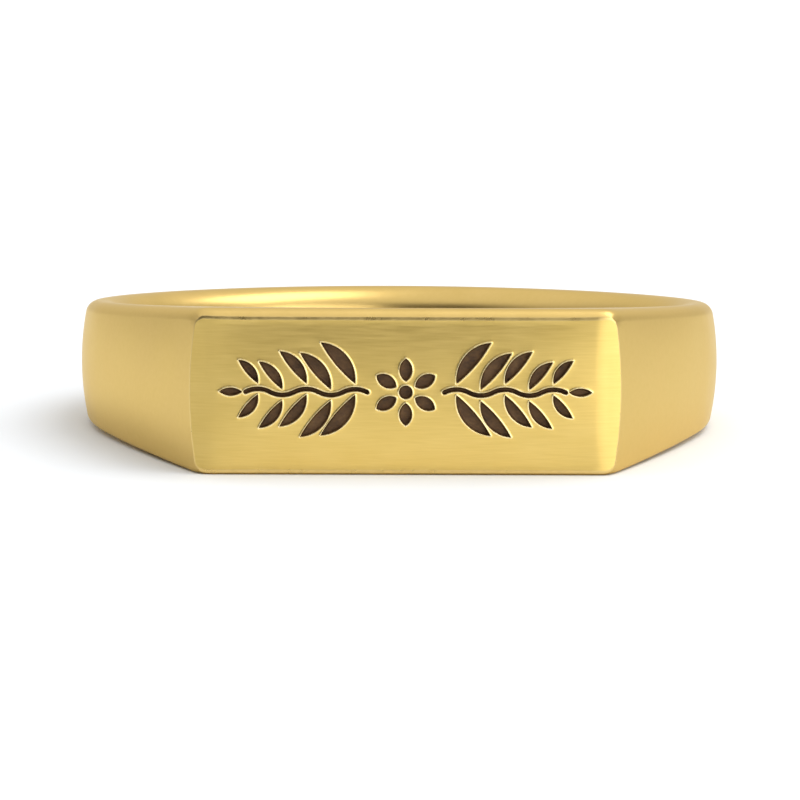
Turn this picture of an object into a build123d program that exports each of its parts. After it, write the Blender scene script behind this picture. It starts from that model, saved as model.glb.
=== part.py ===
from build123d import *
from math import acos, atan2, cos, hypot, sin
import os

# Signet-style bar ring, one solid, in millimetres.
# It lies on its lower rim: +Z is up, the flat plate of the bar faces -Y and +X runs along it.

# Finger bore and band
bore_radius = 8.65
band_wall = 1.45
outer_radius = bore_radius + band_wall

# Flat plate in front, with softly rolled ends, cut this deep into the rounded blank
plate_width = 12.86
plate_wall = 1.35
plate_cut = 0.04
plate_roll_radius = 3.0
plate_roll_width = 0.75
plate_roll_turn = 60
front_reach = bore_radius + plate_wall

# Shoulders between plate and band, slightly bowed in plan
shoulder_bow_radius = 38.0

# Crown of the outer surface in a section through the ring's axis
band_crown_radius = 8.5
shoulder_crown_radius = 18.0

# Heights of the ring at its two feet, and how far each rim arches between them
head_height = 5.03
back_height = 2.97
rim_arch = 0.15

# Rounded edges
upper_rounding = 0.45
lower_rounding = 0.20
bore_rounding = 0.80

# Engraved ornament: a rosette and two laurel sprigs
engraving_depth = 0.25
rosette_petals = 6
rosette_eye_radius = 0.20
petal_root = 0.33
petal_length = 0.68
petal_width = 0.38
sprig_start = 1.16
node_count = 5
node_pitch = 0.73
stem_width = 0.13
stem_wave = 0.09
first_leaf_length = 1.60
last_leaf_length = 0.90
first_leaf_width = 0.42
last_leaf_width = 0.27
leaf_bend = 0.13
leaf_angle = 50
leaf_gap = 0.11
tip_leaf_length = 0.68
tip_leaf_width = 0.24

# The feet are where the lower rim meets the surface, just inside its rounded edges
front_foot = front_reach + plate_cut - lower_rounding
back_foot = outer_radius - lower_rounding
rest_tilt = atan2((head_height - back_height) / 2, front_foot + back_foot)
mid_height = head_height / 2 * cos(rest_tilt) - front_foot * sin(rest_tilt)

ring_plane = Plane(origin=(0, 0, mid_height), x_dir=(1, 0, 0), z_dir=(0, sin(rest_tilt), cos(rest_tilt)))
ring_axis = Axis(ring_plane.origin, ring_plane.z_dir)
side_plane = Plane(origin=ring_plane.origin, x_dir=-ring_plane.y_dir, z_dir=(-1, 0, 0))
plate_plane = Plane(
    origin=ring_plane.from_local_coords((0, -front_reach, 0)), x_dir=(1, 0, 0), z_dir=-ring_plane.y_dir
)

# The blank is made past its rims, which are cut afterwards
cut_margin = 0.4
blank_half = head_height / 2 + cut_margin
blank_front = front_reach + plate_cut
blank_side = outer_radius + cut_margin
blank_bottom_plane = ring_plane.offset(-blank_half - cut_margin)
blank_height = 2 * (blank_half + cut_margin)


def seam_turn():
    """Turn from the plate's middle to where, at mid-height, a shoulder through the plate's corner touches the band."""
    center_gap = shoulder_bow_radius - outer_radius
    corner_reach = hypot(plate_width / 2, front_reach)
    share = (shoulder_bow_radius**2 - center_gap**2 - corner_reach**2) / (2 * center_gap * corner_reach)
    return atan2(plate_width / 2, front_reach) + acos(share)


def blank_outline(height):
    """Outline of the blank at a height above the mid-plane: band, two tangent shoulders and a front line."""
    turn = seam_turn()
    band_radius = outer_radius - height**2 / (2 * band_crown_radius)
    corner_half = plate_width / 2 - height**2 / (2 * shoulder_crown_radius * sin(turn))
    outward = (sin(turn), -cos(turn))
    seam = (band_radius * outward[0], band_radius * outward[1])
    reach = (corner_half - seam[0], -front_reach - seam[1])
    bow_radius = -hypot(*reach) ** 2 / (2 * (reach[0] * outward[0] + reach[1] * outward[1]))
    center = (seam[0] - bow_radius * outward[0], seam[1] - bow_radius * outward[1])
    front_turn = acos((blank_front + center[1]) / bow_radius)

    def shoulder_point(angle, side):
        x = center[0] + bow_radius * sin(angle)
        return (side * x, center[1] - bow_radius * cos(angle))

    with BuildSketch(ring_plane.offset(height)) as outline:
        with BuildLine():
            middle_turn = (front_turn + turn) / 2
            right_front = shoulder_point(front_turn, 1)
            right_seam = shoulder_point(turn, 1)
            left_front = shoulder_point(front_turn, -1)
            left_seam = shoulder_point(turn, -1)
            Line(left_front, right_front)
            ThreePointArc(right_front, shoulder_point(middle_turn, 1), right_seam)
            ThreePointArc(right_seam, (band_radius, 0), (0, band_radius))
            ThreePointArc((0, band_radius), (-band_radius, 0), left_seam)
            ThreePointArc(left_seam, shoulder_point(middle_turn, -1), left_front)
        make_face()
    return outline.sketch


def leaf(length, width, bend=0.0):
    """Pointed leaf from its root at the origin to its tip on +X, bent sideways at its middle."""
    with BuildSketch(mode=Mode.PRIVATE) as outline:
        with BuildLine():
            ThreePointArc((0, 0), (length / 2, bend + width / 2), (length, 0))
            ThreePointArc((0, 0), (length / 2, bend - width / 2), (length, 0))
        make_face()
    return outline.sketch


def between(first, last, share):
    """Value a share of the way from first to last."""
    return first + (last - first) * share


with BuildPart() as bar_ring:
    # Crowned blank
    loft([blank_outline(-blank_half), blank_outline(0), blank_outline(blank_half)])

    # Finger bore
    with BuildSketch(blank_bottom_plane):
        Circle(bore_radius)
    extrude(amount=blank_height, mode=Mode.SUBTRACT)

    # Rims, each cut by a wide arc that passes through the feet
    foot_span = hypot(front_foot + back_foot, (head_height - back_height) / 2)
    rim_radius = foot_span**2 / (8 * rim_arch) + rim_arch / 2
    rim_center_lift = rim_radius - rim_arch
    for side in (1, -1):
        rim_center = (
            (front_foot - back_foot) / 2 - rim_center_lift * sin(rest_tilt),
            side * ((head_height + back_height) / 4 + rim_center_lift * cos(rest_tilt)),
        )
        with BuildSketch(side_plane):
            with Locations(rim_center):
                Circle(rim_radius)
        extrude(amount=blank_side, both=True, mode=Mode.SUBTRACT)

    # Outer edges of the rims
    upper_rim = bar_ring.faces().sort_by(ring_axis)[-1]
    fillet(upper_rim.outer_wire().edges(), upper_rounding)
    lower_rim = bar_ring.faces().sort_by(ring_axis)[0]
    fillet(lower_rim.outer_wire().edges(), lower_rounding)

    # Plate, cut flat through the rounded front of the blank
    with BuildSketch(blank_bottom_plane):
        with BuildLine():
            flat_half = plate_width / 2 - plate_roll_width
            flat = Line((-flat_half, -front_reach), (flat_half, -front_reach))
            right_roll = JernArc(flat @ 1, (1, 0), plate_roll_radius, plate_roll_turn)
            left_roll = JernArc(flat @ 0, (-1, 0), plate_roll_radius, -plate_roll_turn)
            Polyline(
                right_roll @ 1,
                (blank_side, 0),
                (blank_side, blank_side),
                (-blank_side, blank_side),
                (-blank_side, 0),
                left_roll @ 1,
            )
        make_face()
    extrude(amount=blank_height, mode=Mode.INTERSECT)

    # Rounded edges of the bore
    bore_wall = bar_ring.faces().filter_by(GeomType.CYLINDER).sort_by(SortBy.AREA)[-1]
    fillet(bore_wall.edges().filter_by(GeomType.LINE, reverse=True), bore_rounding)

    # Engraved rosette and sprigs
    with BuildSketch(plate_plane):
        Circle(rosette_eye_radius)
        with PolarLocations(petal_root, rosette_petals, start_angle=90):
            add(leaf(petal_length, petal_width))
        stem_end = sprig_start + node_count * node_pitch
        with BuildLine() as stem:
            for node in range(node_count):
                start = (sprig_start + node * node_pitch, 0)
                crest = (start[0] + node_pitch / 2, stem_wave * (-1) ** node)
                ThreePointArc(start, crest, (start[0] + node_pitch, 0))
        trace(stem.line, line_width=stem_width)
        for node in range(node_count):
            share = node / (node_count - 1)
            length = between(first_leaf_length, last_leaf_length, share)
            width = between(first_leaf_width, last_leaf_width, share)
            root_x = sprig_start + (node + 0.5) * node_pitch
            for side in (1, -1):
                root = (root_x, side * (stem_width / 2 + leaf_gap) + stem_wave * (-1) ** node)
                with Locations(Location(root, side * leaf_angle)):
                    add(leaf(length, width, side * leaf_bend * length / first_leaf_length))
        with Locations((stem_end + leaf_gap, 0)):
            add(leaf(tip_leaf_length, tip_leaf_width))
        mirror(about=Plane.YZ)
    extrude(amount=-engraving_depth, mode=Mode.SUBTRACT)

bar_ring.part.label = "bar_ring"
os.makedirs("parts", exist_ok=True)
export_step(bar_ring.part, "parts/bar_ring.step")
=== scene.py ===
"""Dresses the bar ring: a satin gold finger ring that lies on a white table.

Lengths in the ring's own classes are millimetres in the ring's frame: x along the bar, y towards the
back of the band, h along the finger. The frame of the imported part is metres, with +Z up.
"""

from __future__ import annotations

import logging
import math
from collections.abc import Callable
from dataclasses import dataclass, field
from enum import Enum
from typing import Any, ClassVar

import bmesh
import bpy
import numpy as np
from mathutils import Matrix, Vector
from mathutils.geometry import delaunay_2d_cdt

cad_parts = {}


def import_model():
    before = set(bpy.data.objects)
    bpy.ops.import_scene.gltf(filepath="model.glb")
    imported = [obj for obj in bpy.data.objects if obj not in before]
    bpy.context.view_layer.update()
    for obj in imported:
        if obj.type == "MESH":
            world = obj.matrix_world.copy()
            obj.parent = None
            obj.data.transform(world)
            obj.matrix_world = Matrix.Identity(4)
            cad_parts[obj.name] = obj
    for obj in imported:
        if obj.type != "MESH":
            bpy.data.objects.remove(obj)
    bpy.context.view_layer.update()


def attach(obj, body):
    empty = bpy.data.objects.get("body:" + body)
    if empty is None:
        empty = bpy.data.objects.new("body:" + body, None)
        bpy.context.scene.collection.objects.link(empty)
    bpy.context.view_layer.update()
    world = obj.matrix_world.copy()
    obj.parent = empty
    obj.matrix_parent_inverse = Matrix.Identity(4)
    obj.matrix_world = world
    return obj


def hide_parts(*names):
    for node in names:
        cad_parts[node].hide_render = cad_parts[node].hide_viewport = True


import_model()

LOG = logging.getLogger("bar_ring")
METRES_PER_MM = 0.001
TINY = 1e-9
NOISE_BULK = (0.3, 0.7)
MIRRORED = np.array([-1, 1, 1])
INVERTED = np.array([1, 1, -1])
SQUARE_CORNER = math.sin(math.pi / 4)
Array = np.ndarray


class Finish(Enum):
    """Finishes of the ring, in the order of its material slots."""

    SATIN = 0
    BRUSHED = 1
    BORE = 2
    CUT = 3
    LIP = 4
    EDGE = 5


@dataclass(frozen=True)
class RingSizes:
    """Sizes of the ring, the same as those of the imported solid."""

    bore_radius: float = 8.65
    band_wall: float = 1.45
    plate_width: float = 12.86
    plate_wall: float = 1.35
    plate_cut: float = 0.04
    plate_roll_radius: float = 3.0
    plate_roll_width: float = 0.75
    shoulder_bow_radius: float = 38.0
    band_crown_radius: float = 8.5
    shoulder_crown_radius: float = 18.0
    head_height: float = 5.03
    back_height: float = 2.97
    rim_arch: float = 0.15
    upper_rounding: float = 0.45
    lower_rounding: float = 0.20
    bore_rounding: float = 0.80

    @property
    def outer_radius(self) -> float:
        """Outer radius of the band at mid-height."""
        return self.bore_radius + self.band_wall

    @property
    def front_reach(self) -> float:
        """Distance from the finger's axis to the plate."""
        return self.bore_radius + self.plate_wall

    @property
    def blank_front(self) -> float:
        """Distance from the finger's axis to the blank's front, before the plate is cut."""
        return self.front_reach + self.plate_cut

    @property
    def flat_half(self) -> float:
        """Half the width of the plate's flat part, between its rolled ends."""
        return self.plate_width / 2 - self.plate_roll_width

    @property
    def front_foot(self) -> float:
        """Distance from the finger's axis to the front foot."""
        return self.blank_front - self.lower_rounding

    @property
    def back_foot(self) -> float:
        """Distance from the finger's axis to the back foot."""
        return self.outer_radius - self.lower_rounding

    @property
    def rest_tilt(self) -> float:
        """Angle by which the ring leans back where it rests on its lower rim."""
        return math.atan2((self.head_height - self.back_height) / 2, self.front_foot + self.back_foot)

    @property
    def mid_height(self) -> float:
        """Height of the ring's middle above the table."""
        return self.head_height / 2 * math.cos(self.rest_tilt) - self.front_foot * math.sin(self.rest_tilt)

    @property
    def seam_turn(self) -> float:
        """Seam where a shoulder touches the band.

        Returns:
            Its turn from the plate's middle.
        """
        center_gap = self.shoulder_bow_radius - self.outer_radius
        corner_reach = math.hypot(self.plate_width / 2, self.front_reach)
        spare = self.shoulder_bow_radius**2 - center_gap**2 - corner_reach**2
        corner_turn = math.atan2(self.plate_width / 2, self.front_reach)
        return corner_turn + math.acos(spare / (2 * center_gap * corner_reach))

    def to_frame(self, points: Array) -> Array:
        """Moves rows of x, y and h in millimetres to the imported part's frame, in metres."""
        return (self.lean_back(points) + [0.0, 0.0, self.mid_height]) * METRES_PER_MM

    def lean_back(self, rows: Array) -> Array:
        """Turns rows of x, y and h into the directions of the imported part's frame."""
        cos_lean, sin_lean = math.cos(self.rest_tilt), math.sin(self.rest_tilt)
        return rows @ np.array([[1, 0, 0], [0, cos_lean, -sin_lean], [0, sin_lean, cos_lean]])


@dataclass(frozen=True)
class RimArch:
    """The wide arcs that cut the two rims through the ring's feet."""

    sizes: RingSizes

    def _center(self) -> tuple[float, float, float]:
        """Lays the arc of the upper rim through the feet.

        Returns:
            Radius of the arc, and its middle as a distance in front and a height.
        """
        s = self.sizes
        span = math.hypot(s.front_foot + s.back_foot, (s.head_height - s.back_height) / 2)
        radius = span**2 / (8 * s.rim_arch) + s.rim_arch / 2
        lift = radius - s.rim_arch
        front = (s.front_foot - s.back_foot) / 2 - lift * math.sin(s.rest_tilt)
        height = (s.head_height + s.back_height) / 4 + lift * math.cos(s.rest_tilt)
        return radius, front, height

    def height(self, y: Array) -> Array:
        """Height of the upper rim at a depth y; the lower rim is its mirror image."""
        radius, front, height = self._center()
        return height - np.sqrt(radius**2 - (-y - front) ** 2)

    def slope(self, y: Array) -> Array:
        """Rise of the upper rim for each millimetre towards the back."""
        radius, front, _ = self._center()
        return (y + front) / np.sqrt(radius**2 - (y + front) ** 2)


@dataclass(frozen=True)
class BlankWall:
    """Outer wall of the blank: two bowed shoulders that run tangent into a crowned band."""

    sizes: RingSizes
    slope_step: float = 1e-4
    settle_rounds: int = 4

    def middle(self, turn: Array, height: Array) -> tuple[Array, Array, Array]:
        """Middle and radius of the arc that the wall follows in plan.

        Args:
            turn: Turn from the plate's middle of each point.
            height: Height of each point above the mid-plane.

        Returns:
            x and y of the arc's middle, and its radius.
        """
        s = self.sizes
        seam = s.seam_turn
        out_x, out_y = math.sin(seam), -math.cos(seam)
        band_radius = s.outer_radius - height**2 / (2 * s.band_crown_radius)
        corner_half = s.plate_width / 2 - height**2 / (2 * s.shoulder_crown_radius * math.sin(seam))
        reach_x = corner_half - band_radius * out_x
        reach_y = -s.front_reach - band_radius * out_y
        bow = -(reach_x**2 + reach_y**2) / (2 * (reach_x * out_x + reach_y * out_y))
        shoulder = turn < seam
        radius = np.where(shoulder, bow, band_radius)
        gap = np.where(shoulder, band_radius - bow, 0.0)
        return gap * out_x, gap * out_y, radius

    def point(self, turn: Array, height: Array) -> Array:
        """Points of the wall, at a turn of its normal from the plate's normal and a height."""
        center_x, center_y, radius = self.middle(turn, height)
        return np.stack([center_x + radius * np.sin(turn), center_y - radius * np.cos(turn), height], axis=1)

    def rise(self, turn: Array, height: Array) -> Array:
        """Direction straight up the wall.

        Args:
            turn: Turn of each point.
            height: Height of each point.

        Returns:
            Directions of unit length.
        """
        level = self._level(turn)
        along = self.point(turn, height + self.slope_step) - self.point(turn, height - self.slope_step)
        along -= np.sum(along * level, axis=1, keepdims=True) * level
        return along / np.linalg.norm(along, axis=1, keepdims=True)

    def below(self, turn: Array, point: Array, height: Array) -> Array:
        """Turn, at another height, of the wall straight below or above each point.

        Args:
            turn: Turn of each point.
            point: Points of the wall, as rows of x, y and h.
            height: Height to go to.

        Returns:
            The turn at that height.
        """
        level = self._level(turn)
        found = turn
        for _ in range(self.settle_rounds):
            past = np.sum((self.point(found, height) - point) * level, axis=1)
            found = found - past / self.middle(found, height)[2]
        return found

    @staticmethod
    def _level(turn: Array) -> Array:
        """Level direction along the wall at each turn."""
        return np.stack([np.cos(turn), np.sin(turn), np.zeros_like(turn)], axis=1)


def turning_point(low: Array, high: Array, holds: Callable[[Array], Array], halvings: int) -> Array:
    """Finds by halving where a test stops to hold.

    Args:
        low: Where it holds.
        high: Where it doesn't.
        holds: The test, made at one place for each row.
        halvings: Number of halvings.

    Returns:
        The place for each row.
    """
    for _ in range(halvings):
        middle = (low + high) / 2
        held = holds(middle)
        low, high = np.where(held, middle, low), np.where(held, high, middle)
    return (low + high) / 2


def rounded_corner(legs: tuple[Array, Array, Array], weight: Array, share: Array) -> Array:
    """Points of a round corner.

    Args:
        legs: Start, corner and end of each rounding, as rows of x, y and h.
        weight: Weight of the corner that makes each rounding a circular arc.
        share: Share of the way along each rounding.

    Returns:
        Rows of x, y and h.
    """
    start, corner, end = legs
    near, mid, far = (1 - share) ** 2, 2 * share * (1 - share) * weight, share**2
    total = near + mid + far
    return (start * near[:, None] + corner * mid[:, None] + end * far[:, None]) / total[:, None]


@dataclass(frozen=True)
class PlateSurface:
    """Flat of the bar, with its softly rolled ends and the slight crown that polishing leaves."""

    sizes: RingSizes
    crown: float = 0.115
    crown_half_width: float = 6.1
    crown_middle: float = -0.103
    crown_half_height: float = 2.245
    along_power: int = 4
    across_power: int = 2
    steepest_roll: float = 0.95

    def depth(self, x: Array) -> Array:
        """Depth of the plate, without its crown.

        Args:
            x: Places along the bar.

        Returns:
            y at each place.
        """
        s = self.sizes
        past = np.clip(np.abs(x) - s.flat_half, 0.0, s.plate_roll_radius * self.steepest_roll)
        return -s.front_reach + s.plate_roll_radius - np.sqrt(s.plate_roll_radius**2 - past**2)

    def crowned(self, flat: Array) -> Array:
        """How far the crowned plate stands in front of its edges.

        Args:
            flat: Rows of x and h on the plate.

        Returns:
            Distance of each point in front of the plain surface.
        """
        to_end = flat[:, 0] / self.crown_half_width
        to_edge = (flat[:, 1] - self.crown_middle) / self.crown_half_height
        along = np.clip(1 - to_end**self.along_power, 0.0, None)
        across = np.clip(1 - to_edge**self.across_power, 0.0, None)
        return self.crown * along * across


@dataclass(frozen=True)
class EdgeRounding:
    """Rounded edge between a rim and the blank's outer wall."""

    sizes: RingSizes
    wall: BlankWall
    rim: RimArch
    plate: PlateSurface
    radius: float
    settle_rounds: int = 12

    def legs(self, turn: Array) -> tuple[tuple[Array, Array, Array], Array]:
        """Start on the rim, corner and end on the wall of the rounding at each turn.

        Args:
            turn: Turn from the plate's middle.

        Returns:
            The three rows of points, and the corner's weight.
        """
        height = np.full_like(turn, self.sizes.back_height / 2)
        for _ in range(self.settle_rounds):
            height = self.rim.height(self.wall.point(turn, height)[:, 1])
        corner = self.wall.point(turn, height)
        return self._fit(turn, corner)

    def _fit(self, turn: Array, corner: Array) -> tuple[tuple[Array, Array, Array], Array]:
        """Fits a rounding of this radius into the corner at each turn.

        Args:
            turn: Turn of each corner.
            corner: Where the rim would meet the wall.

        Returns:
            The three rows of points, and the corner's weight.
        """
        inward = np.stack([-np.sin(turn), np.cos(turn), np.cos(turn) * self.rim.slope(corner[:, 1])], axis=1)
        inward /= np.linalg.norm(inward, axis=1, keepdims=True)
        down = -self.wall.rise(turn, corner[:, 2])
        opening = np.arccos(np.clip(np.sum(inward * down, axis=1), -1, 1))
        leg = self.radius / np.tan(opening / 2)
        height = corner[:, 2] + leg * down[:, 2]
        below = self.wall.below(turn, corner, height)
        end = self.wall.point(below, height)
        up = self.wall.rise(below, height)
        tip = end + up * ((corner[:, 2] - end[:, 2]) / up[:, 2])[:, None]
        start = tip + inward * leg[:, None]
        return (start, tip, end), np.sin(opening / 2)

    def point(self, turn: Array, share: Array) -> Array:
        """Points of the rounding, from the rim at share 0 to the wall at share 1."""
        legs, weight = self.legs(turn)
        return rounded_corner(legs, weight, share)

    def front_point(self, x: Array, share: Array) -> Array:
        """Points of the same rounding along the front of the blank.

        Args:
            x: Place along the bar.
            share: Share of the way from the rim to the front.

        Returns:
            Rows of x, y and h.
        """
        y = self.plate.depth(x) - self.sizes.plate_cut
        slope = self.rim.slope(y)
        none = np.zeros_like(x)
        inward = np.column_stack([none, np.ones_like(x), slope]) / np.hypot(1.0, slope)[:, None]
        opening = np.arccos(-inward[:, 2])
        leg = self.radius / np.tan(opening / 2)
        tip = np.column_stack([x, y, self.rim.height(y)])
        start = tip + inward * leg[:, None]
        end = tip - np.column_stack([none, none, leg])
        return rounded_corner((start, tip, end), np.sin(opening / 2), share)


@dataclass(frozen=True)
class LeafForm:
    """Pointed leaf bounded by two arcs that meet at its root and its tip."""

    root: tuple[float, float]
    angle: float
    length: float
    width: float
    bend: float = 0.0
    thinnest: float = 1e-3

    def _place(self, along: float, across: float) -> Array:
        """Turns the leaf's own coordinates into the plate's."""
        c, s = math.cos(self.angle), math.sin(self.angle)
        return np.array([self.root[0] + along * c - across * s, self.root[1] + along * s + across * c])

    def _arcs(self) -> list[tuple[Array, float]]:
        """The two arcs that bound the leaf.

        Returns:
            Middle and radius of each.
        """
        arcs = []
        for rise in (self.bend + self.width / 2, self.bend - self.width / 2):
            radius = (self.length**2 / 4 + rise**2) / (2 * abs(rise))
            middle = rise - math.copysign(radius, rise)
            arcs.append((self._place(self.length / 2, middle), radius))
        return arcs

    def distance(self, points: Array) -> Array:
        """Signed distance from the leaf's outline.

        Args:
            points: Rows of x and h on the plate.

        Returns:
            Distance of each point, negative inside.
        """
        tips = [self._place(0.0, 0.0), self._place(self.length, 0.0)]
        arcs = self._arcs()
        gaps = [np.linalg.norm(points - middle, axis=1) - radius for middle, radius in arcs]
        nearest = np.maximum(*gaps)
        tip_gap = np.minimum(*[np.linalg.norm(points - tip, axis=1) for tip in tips])
        on_arc = np.zeros(len(points), bool)
        for k, (middle, radius) in enumerate(arcs):
            other_middle, other_radius = arcs[1 - k]
            away = points - middle
            foot = middle + away * (radius / np.maximum(np.linalg.norm(away, axis=1), TINY))[:, None]
            inside = np.linalg.norm(foot - other_middle, axis=1) <= other_radius + TINY
            on_arc |= inside & (gaps[k] >= gaps[1 - k])
        return np.where((nearest <= 0) | on_arc, nearest, tip_gap)

    def outline(self, offset: float, step: float) -> Array | None:
        """Closed outline at an offset outside the leaf, or None where nothing is left of it.

        Args:
            offset: Distance outside the leaf's edge, negative inside.
            step: Longest distance between two points.

        Returns:
            Points of the outline in order, or None.
        """
        (first, first_radius), (second, second_radius) = self._arcs()
        r1, r2 = first_radius + min(offset, 0.0), second_radius + min(offset, 0.0)
        apart = second - first
        gap = float(np.linalg.norm(apart))
        if gap >= r1 + r2 - self.thinnest:
            return None
        share = (r1**2 - r2**2 + gap**2) / (2 * gap)
        half = math.sqrt(max(r1**2 - share**2, 0.0))
        axis = apart / gap
        side = np.array([-axis[1], axis[0]])
        ends = [first + axis * share + side * half, first + axis * share - side * half]
        points: list[Array] = []
        grown = max(offset, 0.0)
        for middle, radius, start, end in ((first, r1, ends[1], ends[0]), (second, r2, ends[0], ends[1])):
            points.extend(self._sweep(middle, radius + grown, start - middle, end - middle, step))
            if grown > 0:
                following = second if middle is first else first
                points.extend(self._sweep(end, grown, end - middle, end - following, step / 3)[1:-1])
            else:
                points.pop()
        return np.array(points)

    @staticmethod
    def _sweep(middle: Array, radius: float, start: Array, end: Array, step: float) -> list[Array]:
        """Points of an arc that turns anticlockwise from one direction to another.

        Args:
            middle: Middle of the arc.
            radius: Radius of the arc.
            start: Direction that it starts in.
            end: Direction that it ends in.
            step: Longest distance between two points.

        Returns:
            Points from start to end.
        """
        first = math.atan2(start[1], start[0])
        turn = (math.atan2(end[1], end[0]) - first) % (2 * math.pi)
        count = max(2, math.ceil(turn * radius / step))
        angles = [first + turn * k / count for k in range(count + 1)]
        return [middle + radius * np.array([math.cos(a), math.sin(a)]) for a in angles]


@dataclass(frozen=True)
class DotForm:
    """Round eye of the rosette."""

    middle: tuple[float, float]
    radius: float
    fewest_points: int = 12

    def distance(self, points: Array) -> Array:
        """Signed distance of each point from the eye's edge, negative inside."""
        return np.linalg.norm(points - np.array(self.middle), axis=1) - self.radius

    def outline(self, offset: float, step: float) -> Array | None:
        """Closed outline at an offset outside the eye, or None where nothing is left of it.

        Args:
            offset: Distance outside the eye's edge, negative inside.
            step: Longest distance between two points.

        Returns:
            Points of the outline in order, or None.
        """
        radius = self.radius + offset
        if radius <= 0:
            return None
        count = max(self.fewest_points, math.ceil(2 * math.pi * radius / step))
        angles = 2 * math.pi * np.arange(count) / count
        x, h = self.middle
        return np.stack([x + radius * np.cos(angles), h + radius * np.sin(angles)], axis=1)


@dataclass(frozen=True)
class StemForm:
    """Waving stem of a sprig, of an even width."""

    start: float
    pitch: float
    count: int
    wave: float
    width: float
    side: int
    samples: int = 14
    thinnest: float = 0.004

    def line(self) -> Array:
        """Follows the middle of the stem.

        Returns:
            Points from its start to its end.
        """
        radius = (self.pitch**2 / 4 + self.wave**2) / (2 * self.wave)
        half_turn = math.asin(self.pitch / 2 / radius)
        points = []
        for node in range(self.count):
            middle_x = self.start + (node + 0.5) * self.pitch
            up = (-1) ** node
            for k in range(self.samples + (node == self.count - 1)):
                angle = half_turn * (2 * k / self.samples - 1)
                rise = radius * math.cos(angle) - radius + self.wave
                points.append((middle_x + radius * math.sin(angle), up * rise))
        line = np.array(points)
        line[:, 0] *= self.side
        return line

    def distance(self, points: Array) -> Array:
        """Signed distance from the stem's edge.

        Args:
            points: Rows of x and h on the plate.

        Returns:
            Distance of each point, negative inside.
        """
        line = self.line()
        best = np.full(len(points), np.inf)
        for start, end in zip(line[:-1], line[1:], strict=True):
            along = end - start
            share = np.clip(((points - start) @ along) / (along @ along), 0, 1)
            best = np.minimum(best, np.linalg.norm(points - start - share[:, None] * along, axis=1))
        return best - self.width / 2

    def outline(self, offset: float, step: float) -> Array | None:
        """Closed outline at an offset outside the stem, or None where nothing is left of it.

        Args:
            offset: Distance outside the stem's edge, negative inside.
            step: Longest distance between two points.

        Returns:
            Points of the outline in order, or None.
        """
        reach = self.width / 2 + offset
        if reach <= self.thinnest:
            return None
        line = self.line()
        along = np.gradient(line, axis=0)
        along /= np.linalg.norm(along, axis=1, keepdims=True)
        across = np.stack([-along[:, 1], along[:, 0]], axis=1)
        cap = max(3, math.ceil(math.pi * reach / step))
        turns = math.pi * (np.arange(1, cap) / cap - 0.5)
        tip = [line[-1] + reach * (math.cos(t) * along[-1] + math.sin(t) * across[-1]) for t in turns]
        root = [line[0] - reach * (math.cos(t) * along[0] + math.sin(t) * across[0]) for t in turns]
        there, back = line - across * reach, (line + across * reach)[::-1]
        return np.concatenate([there, np.array(tip), back, np.array(root)])


Form = LeafForm | DotForm | StemForm


@dataclass(frozen=True)
class Ornament:
    """Engraved rosette with a laurel sprig on each side."""

    petals: int = 6
    eye_radius: float = 0.20
    petal_root: float = 0.33
    petal_length: float = 0.68
    petal_width: float = 0.38
    sprig_start: float = 1.16
    node_count: int = 5
    node_pitch: float = 0.73
    stem_width: float = 0.13
    stem_wave: float = 0.09
    first_leaf: tuple[float, float] = (1.60, 0.42)
    last_leaf: tuple[float, float] = (0.90, 0.27)
    leaf_bend: float = 0.13
    leaf_angle: float = math.radians(50)
    leaf_gap: float = 0.11
    tip_leaf: tuple[float, float] = (0.68, 0.24)

    def forms(self) -> list[Form]:
        """Every separate cut of the ornament.

        Returns:
            The eye, the petals and both sprigs.
        """
        cuts: list[Form] = [DotForm((0.0, 0.0), self.eye_radius)]
        for k in range(self.petals):
            angle = math.pi / 2 + 2 * math.pi * k / self.petals
            root = (self.petal_root * math.cos(angle), self.petal_root * math.sin(angle))
            cuts.append(LeafForm(root, angle, self.petal_length, self.petal_width))
        for side in (1, -1):
            cuts.extend(self._sprig(side))
        return cuts

    def _sprig(self, side: int) -> list[Form]:
        """Stem and leaves on one side of the rosette.

        Args:
            side: 1 for the right, -1 for the left.

        Returns:
            The cuts of the sprig.
        """
        pitch, count = self.node_pitch, self.node_count
        cuts: list[Form] = [StemForm(self.sprig_start, pitch, count, self.stem_wave, self.stem_width, side)]
        for node in range(self.node_count):
            share = node / (self.node_count - 1)
            length = self.first_leaf[0] + (self.last_leaf[0] - self.first_leaf[0]) * share
            width = self.first_leaf[1] + (self.last_leaf[1] - self.first_leaf[1]) * share
            root_x = self.sprig_start + (node + 0.5) * self.node_pitch
            for up in (1, -1):
                root_y = up * (self.stem_width / 2 + self.leaf_gap) + self.stem_wave * (-1) ** node
                bend = up * self.leaf_bend * length / self.first_leaf[0]
                cuts.append(self._leaf(side, (root_x, root_y), up * self.leaf_angle, length, width, bend))
        tip_x = self.sprig_start + self.node_count * self.node_pitch + self.leaf_gap
        cuts.append(self._leaf(side, (tip_x, 0.0), 0.0, *self.tip_leaf, 0.0))
        return cuts

    @staticmethod
    def _leaf(
        side: int, root: tuple[float, float], angle: float, length: float, width: float, bend: float
    ) -> LeafForm:
        """A leaf on the right, or its mirror image on the left.

        Args:
            side: 1 for the right, -1 for the left.
            root: Where the leaf on the right starts.
            angle: Direction that it points in.
            length: Length from root to tip.
            width: Width at the middle.
            bend: How far its middle is bent to the left of its direction.

        Returns:
            The leaf.
        """
        if side > 0:
            return LeafForm(root, angle, length, width, bend)
        return LeafForm((-root[0], root[1]), math.pi - angle, length, width, -bend)


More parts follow.
